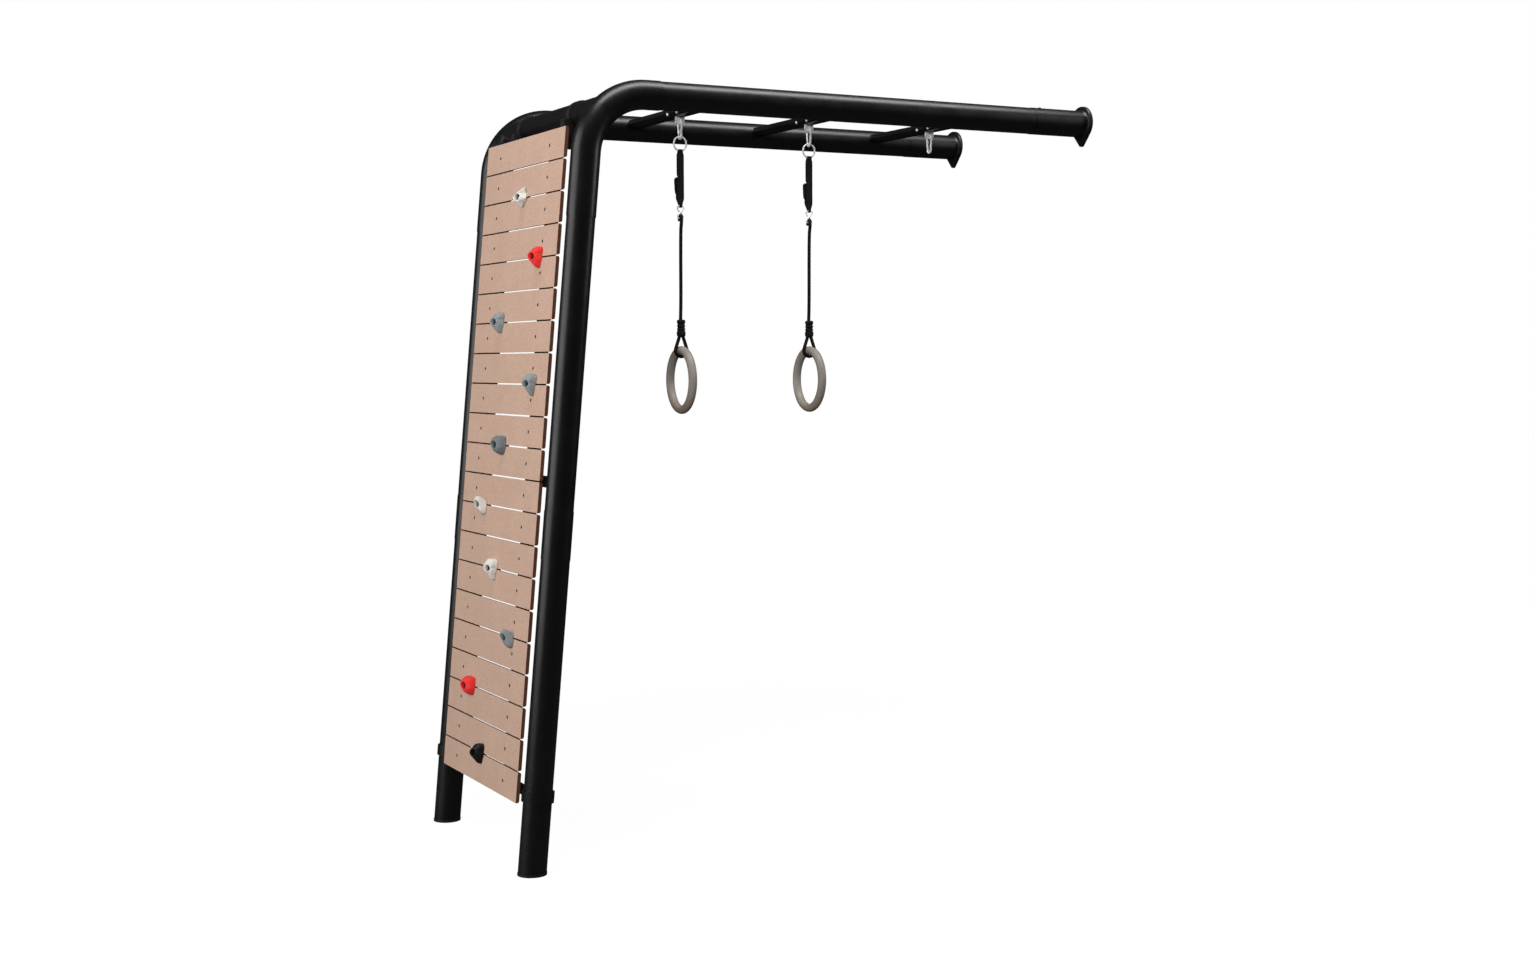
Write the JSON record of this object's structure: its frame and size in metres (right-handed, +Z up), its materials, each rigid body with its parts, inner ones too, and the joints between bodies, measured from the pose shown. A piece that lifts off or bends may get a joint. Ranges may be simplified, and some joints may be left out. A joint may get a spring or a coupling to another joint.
{
  "type": "vertical climber frame",
  "caption": "Wall-fixed climbing gym frame: leaning plank wall with moulded holds, bent tube legs and beams, overhead rungs, and gym rings hung on straps and ropes from snap hooks.",
  "frame": {"origin": "on the ground under the middle of the whole object's box", "axes": "+X along the top beams from the climbing wall to the wall flanges, +Y from the near frame to the far frame, +Z up"},
  "size_m": [2.1273, 0.9274, 2.4518],
  "materials": {
    "frame_black": "semi-gloss black paint",
    "black_plastic": "matte",
    "bright_steel": "bright zinc or stainless, polished",
    "dark_metal": "dark, satin",
    "dark_fastener": "black oxide",
    "plank": "smooth light brown board, matt, darker cut edges",
    "strap_webbing": "woven black webbing",
    "rope_black": "braided black rope",
    "ring_plastic": "satin grey-brown moulding",
    "hold_light_grey": "rough moulded resin",
    "hold_mid_grey": "rough moulded resin",
    "hold_dark_grey": "rough moulded resin",
    "hold_red": "rough moulded resin",
    "hold_black": "rough moulded resin"
  },
  "bodies": {
    "frame": {"leg_lower_near": "frame_black", "leg_upper_near": "frame_black", "corner_tube_near": "frame_black", "top_beam_near": "frame_black", "wall_flange_near": "frame_black", "batten_near": "frame_black", "leg_lower_far": "frame_black", "leg_upper_far": "frame_black", "corner_tube_far": "frame_black", "top_beam_far": "frame_black", "wall_flange_far": "frame_black", "batten_far": "frame_black", "rung_1": "frame_black", "rung_2": "frame_black", "rung_3": "frame_black", "foot_caps": "black_plastic", "joint_screws": "dark_fastener", "crossbar": "frame_black", "hanger_lugs": "bright_steel", "rung_screws": "bright_steel", "planks_top": "plank", "planks_middle": "plank", "planks_bottom": "plank", "plank_screws": "dark_fastener", "leg_clamps": "frame_black", "side_brackets": "frame_black", "batten_saddles": "black_plastic", "hold_bolts": "bright_steel", "hold_01_star": "hold_light_grey", "hold_02_heart": "hold_red", "hold_03_heart": "hold_mid_grey", "hold_04_shield": "hold_mid_grey", "hold_05_dome": "hold_dark_grey", "hold_06_jug": "hold_light_grey", "hold_07_shield": "hold_light_grey", "hold_08_jug": "hold_mid_grey", "hold_09_dome": "hold_red", "hold_10_heart": "hold_black"},
    "hook_1": {"snap_hook_1": "bright_steel"},
    "gate_1": {"hook_gate_1": "bright_steel"},
    "hook_2": {"snap_hook_2": "bright_steel"},
    "gate_2": {"hook_gate_2": "bright_steel"},
    "hook_3": {"snap_hook_3": "bright_steel"},
    "gate_3": {"hook_gate_3": "bright_steel"},
    "o_ring_1": {"o_ring_1": "bright_steel"},
    "strap_1": {"strap_1": "strap_webbing", "strap_buckle_1": "dark_metal"},
    "lever_1": {"buckle_lever_1": "dark_metal"},
    "link_1": {"link_1": "bright_steel"},
    "rope_1": {"rope_1": "rope_black", "rope_knot_1": "rope_black"},
    "gym_ring_1": {"gym_ring_1": "ring_plastic"},
    "o_ring_2": {"o_ring_2": "bright_steel"},
    "strap_2": {"strap_2": "strap_webbing", "strap_buckle_2": "dark_metal"},
    "lever_2": {"buckle_lever_2": "dark_metal"},
    "link_2": {"link_2": "bright_steel"},
    "rope_2": {"rope_2": "rope_black", "rope_knot_2": "rope_black"},
    "gym_ring_2": {"gym_ring_2": "ring_plastic"}
  },
  "joints": [
    {"name": "hook_swing_1", "type": "hinge", "parent": "frame", "child": "hook_1", "pos_m": [-0.2957, 0, 2.378], "axis": [0, 1, 0], "range_deg": [-25, 25]},
    {"name": "gate_open_1", "type": "hinge", "parent": "hook_1", "child": "gate_1", "pos_m": [-0.2957, 0.01027, 2.33075], "axis": [1, 0, 0], "range_deg": [0, 20], "stiffness_Nm_per_rad": 0.05, "springref_deg": -11.46},
    {"name": "hook_swing_2", "type": "hinge", "parent": "frame", "child": "hook_2", "pos_m": [0.1979, 0, 2.378], "axis": [0, 1, 0], "range_deg": [-25, 25]},
    {"name": "gate_open_2", "type": "hinge", "parent": "hook_2", "child": "gate_2", "pos_m": [0.1979, 0.01027, 2.33075], "axis": [1, 0, 0], "range_deg": [0, 20], "stiffness_Nm_per_rad": 0.05, "springref_deg": -11.46},
    {"name": "hook_swing_3", "type": "hinge", "parent": "frame", "child": "hook_3", "pos_m": [0.6917, 0, 2.378], "axis": [0, 1, 0], "range_deg": [-25, 25]},
    {"name": "gate_open_3", "type": "hinge", "parent": "hook_3", "child": "gate_3", "pos_m": [0.6917, 0.01027, 2.33075], "axis": [1, 0, 0], "range_deg": [0, 20], "stiffness_Nm_per_rad": 0.05, "springref_deg": -11.46},
    {"name": "o_ring_swing_1", "type": "hinge", "parent": "hook_1", "child": "o_ring_1", "pos_m": [-0.2957, 0, 2.3204], "axis": [1, 0, 0], "range_deg": [-20, 20]},
    {"name": "strap_swing_1", "type": "hinge", "parent": "o_ring_1", "child": "strap_1", "pos_m": [-0.2957, 0, 2.2744], "axis": [1, 0, 0], "range_deg": [-20, 20]},
    {"name": "buckle_lever_1", "type": "hinge", "parent": "strap_1", "child": "lever_1", "pos_m": [-0.2957, 0.015, 2.178], "axis": [1, 0, 0], "range_deg": [0, 30], "stiffness_Nm_per_rad": 0.08, "springref_deg": -11.46},
    {"name": "link_swing_1", "type": "hinge", "parent": "strap_1", "child": "link_1", "pos_m": [-0.2957, 0, 2.09], "axis": [1, 0, 0], "range_deg": [-15, 15]},
    {"name": "rope_swing_1", "type": "hinge", "parent": "link_1", "child": "rope_1", "pos_m": [-0.2957, 0, 2.0492], "axis": [1, 0, 0], "range_deg": [-15, 15]},
    {"name": "ring_tilt_1", "type": "hinge", "parent": "rope_1", "child": "gym_ring_1", "pos_m": [-0.2957, 0, 1.6068], "axis": [0.0523, 0.9986, 0], "range_deg": [-75, 75]},
    {"name": "o_ring_swing_2", "type": "hinge", "parent": "hook_2", "child": "o_ring_2", "pos_m": [0.1979, 0, 2.3204], "axis": [1, 0, 0], "range_deg": [-20, 20]},
    {"name": "strap_swing_2", "type": "hinge", "parent": "o_ring_2", "child": "strap_2", "pos_m": [0.1979, 0, 2.2744], "axis": [1, 0, 0], "range_deg": [-20, 20]},
    {"name": "buckle_lever_2", "type": "hinge", "parent": "strap_2", "child": "lever_2", "pos_m": [0.1979, 0.015, 2.178], "axis": [1, 0, 0], "range_deg": [0, 30], "stiffness_Nm_per_rad": 0.08, "springref_deg": -11.46},
    {"name": "link_swing_2", "type": "hinge", "parent": "strap_2", "child": "link_2", "pos_m": [0.1979, 0, 2.09], "axis": [1, 0, 0], "range_deg": [-15, 15]},
    {"name": "rope_swing_2", "type": "hinge", "parent": "link_2", "child": "rope_2", "pos_m": [0.1979, 0, 2.0492], "axis": [1, 0, 0], "range_deg": [-15, 15]},
    {"name": "ring_tilt_2", "type": "hinge", "parent": "rope_2", "child": "gym_ring_2", "pos_m": [0.1979, 0, 1.6068], "axis": [0.0523, 0.9986, 0], "range_deg": [-75, 75]}
  ]
}
